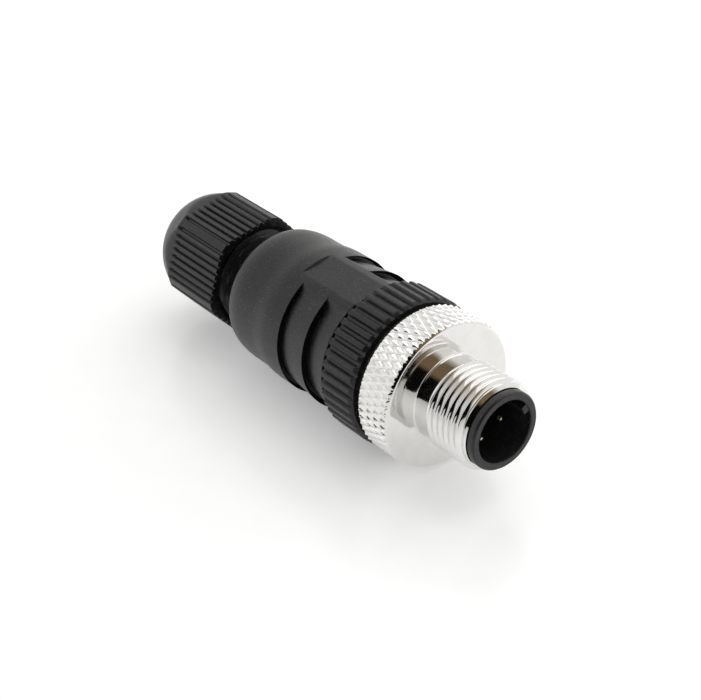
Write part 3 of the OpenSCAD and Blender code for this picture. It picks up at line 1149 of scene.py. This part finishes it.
@dataclass(frozen=True)
class Studio:
    """A white sweep, one soft lamp and the room that the metal mirrors."""

    floor_half: float = 3.0
    floor_colour: str = "ebebea"
    floor_mottle: str = "f2f2f1"
    floor_lift: float = 0.29
    ambient: float = 0.68
    lamp_place: tuple[float, float, float] = (-0.10, 0.36, 0.56)
    lamp_size: float = 0.8
    lamp_power: float = 1.5
    dark: tuple[float, float, float, float] = (-56.0, 9.0, 47.0, 54.0)
    brown: tuple[float, float, float, float] = (-24.0, 38.0, 24.0, 36.0)
    flatten: float = 2.0
    wall_tint: str = "fdfcfa"
    roof_tint: str = "e2e2e2"
    brown_tint: str = "7a664c"
    dark_tint: str = "030303"
    roof_rise: tuple[float, float] = (0.45, 0.95)

    def floor(self) -> None:
        """Lays the floor, white to the eye and still able to hold a shadow."""
        mesh = bmesh.new()
        bmesh.ops.create_grid(mesh, x_segments=1, y_segments=1, size=self.floor_half)
        material, tree, where = new_material("matt_white_board")
        paper = noise(tree, where, 4.0, 4.0)
        colour = blend_colours(tree, paper, linear(self.floor_colour), linear(self.floor_mottle))
        board = add_node(
            tree, "ShaderNodeBsdfPrincipled", {}, {"Base Color": colour, "Roughness": 0.22, "IOR": 1.45}
        )
        path = add_node(tree, "ShaderNodeLightPath")
        seen = add_node(
            tree, "ShaderNodeMath", {"operation": "MAXIMUM"},
            {0: path.outputs["Is Camera Ray"], 1: path.outputs["Is Glossy Ray"]},
        )
        seen = add_node(
            tree, "ShaderNodeMath", {"operation": "MAXIMUM"},
            {0: seen.outputs[0], 1: path.outputs["Is Transmission Ray"]},
        )
        strength = remap(tree, seen.outputs[0], WHOLE, (0.0, self.floor_lift))
        lift = add_node(tree, "ShaderNodeEmission", {}, {"Color": WHITE, "Strength": strength})
        both = add_node(tree, "ShaderNodeAddShader", {}, {0: board.outputs[0], 1: lift.outputs[0]})
        add_node(tree, "ShaderNodeOutputMaterial", {}, {"Surface": both.outputs[0]})
        data = bpy.data.meshes.new("floor")
        mesh.to_mesh(data)
        mesh.free()
        data.materials.append(material)
        sweep = bpy.data.objects.new("floor", data)
        bpy.context.scene.collection.objects.link(sweep)

    def patch(self, tree: Tree, where: Socket, spot: tuple[float, float, float, float]) -> Socket:
        """Adds a soft oval patch in the room, wider than it is tall.

        Args:
            tree: the world's node tree.
            where: the direction.
            spot: the patch centre's turn and height, and the angles from it where the patch is full and
                where it has faded out, all in degrees.

        Returns:
            A value of 1 in the patch and 0 outside.
        """
        turn, rise, full, gone = (math.radians(angle) for angle in spot)
        level = math.cos(rise)
        centre = Vector(
            (math.cos(turn) * level, math.sin(turn) * level, math.sin(rise) * self.flatten)
        ).normalized()
        tall = add_node(
            tree, "ShaderNodeVectorMath", {"operation": "MULTIPLY"}, {0: where, 1: (1.0, 1.0, self.flatten)}
        )
        tall = add_node(tree, "ShaderNodeVectorMath", {"operation": "NORMALIZE"}, {0: tall.outputs[0]})
        near = add_node(
            tree, "ShaderNodeVectorMath", {"operation": "DOT_PRODUCT"}, {0: tall.outputs[0], 1: centre}
        )
        full, gone = math.cos(full), math.cos(gone)
        return remap(tree, near.outputs["Value"], (gone, full))

    def room(self) -> None:
        """Sets the world: white to the eye, even for light, and with dark and brown patches for mirrors."""
        world = bpy.data.worlds.new("studio")
        bpy.context.scene.world = world
        world.use_nodes = True
        tree = world.node_tree
        tree.nodes.clear()
        where = add_node(tree, "ShaderNodeTexCoord").outputs["Generated"]
        brown = self.patch(tree, where, self.brown)
        black = self.patch(tree, where, self.dark)
        height = add_node(tree, "ShaderNodeSeparateXYZ", {}, {0: where}).outputs["Z"]
        roof = remap(tree, height, self.roof_rise)
        mirrored = blend_colours(tree, roof, linear(self.wall_tint), linear(self.roof_tint))
        mirrored = blend_colours(tree, brown, mirrored, linear(self.brown_tint))
        mirrored = blend_colours(tree, black, mirrored, linear(self.dark_tint))
        path = add_node(tree, "ShaderNodeLightPath")
        plain = add_node(tree, "ShaderNodeBackground", {}, {"Color": WHITE, "Strength": self.ambient})
        mirror = add_node(tree, "ShaderNodeBackground", {}, {"Color": mirrored, "Strength": 1.0})
        white = add_node(tree, "ShaderNodeBackground", {}, {"Color": WHITE, "Strength": 1.0})
        glossy = add_node(
            tree, "ShaderNodeMixShader", {},
            {0: path.outputs["Is Glossy Ray"], 1: plain.outputs[0], 2: mirror.outputs[0]},
        )
        seen = add_node(
            tree, "ShaderNodeMixShader", {},
            {0: path.outputs["Is Camera Ray"], 1: glossy.outputs[0], 2: white.outputs[0]},
        )
        add_node(tree, "ShaderNodeOutputWorld", {}, {"Surface": seen.outputs[0]})

    def lamp(self) -> None:
        """Hangs the soft lamp above and behind the plug."""
        data = bpy.data.lights.new("soft_box", "AREA")
        data.shape = "SQUARE"
        data.size = self.lamp_size
        data.energy = self.lamp_power
        lamp = bpy.data.objects.new("soft_box", data)
        lamp.location = self.lamp_place
        lamp.rotation_euler = (-Vector(self.lamp_place)).to_track_quat("-Z", "Y").to_euler()
        bpy.context.scene.collection.objects.link(lamp)

    def build(self) -> None:
        """Sets the floor, the room and the lamp."""
        self.floor()
        self.room()
        self.lamp()
        bpy.context.scene.view_settings.view_transform = "Standard"


@dataclass(frozen=True)
class Viewpoint:
    """The camera, set on the plug's own axis: its place is measured from the socket face's centre."""

    ahead: float = 115.13
    aside: float = -114.51
    above: float = 107.28
    turn: float = 141.615
    dip: float = 30.755
    lens: float = 84.40

    def build(self, axis: Axis) -> None:
        """Makes the camera and hands it to the scene.

        Args:
            axis: the plug's axis.
        """
        turn, dip = math.radians(self.turn), math.radians(self.dip)
        forward = Vector((math.cos(dip) * math.cos(turn), math.cos(dip) * math.sin(turn), -math.sin(dip)))
        data = bpy.data.cameras.new("camera")
        data.lens = self.lens
        data.sensor_width = 36.0
        data.clip_start = 0.01
        data.clip_end = 20.0
        camera = bpy.data.objects.new("camera", data)
        camera.location = (axis.front + self.ahead * MM, self.aside * MM, axis.height + self.above * MM)
        camera.rotation_euler = forward.to_track_quat("-Z", "Y").to_euler()
        bpy.context.scene.collection.objects.link(camera)
        bpy.context.scene.camera = camera


def main() -> None:
    """Builds the plug, the studio and the camera."""
    logging.basicConfig(level=logging.INFO, format="%(name)s: %(message)s")
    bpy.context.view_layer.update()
    axis = Axis.from_frame()
    finishes = make_finishes()
    for part in (CouplingScrew(axis), GripRing(axis), BodySleeve(axis), GlandNut(axis), Inside()):
        for piece in part.build(finishes):
            LOG.info("%s: %d faces", piece.name, len(piece.data.polygons))
    Studio().build()
    Viewpoint().build(axis)


if __name__ == "__main__":
    main()
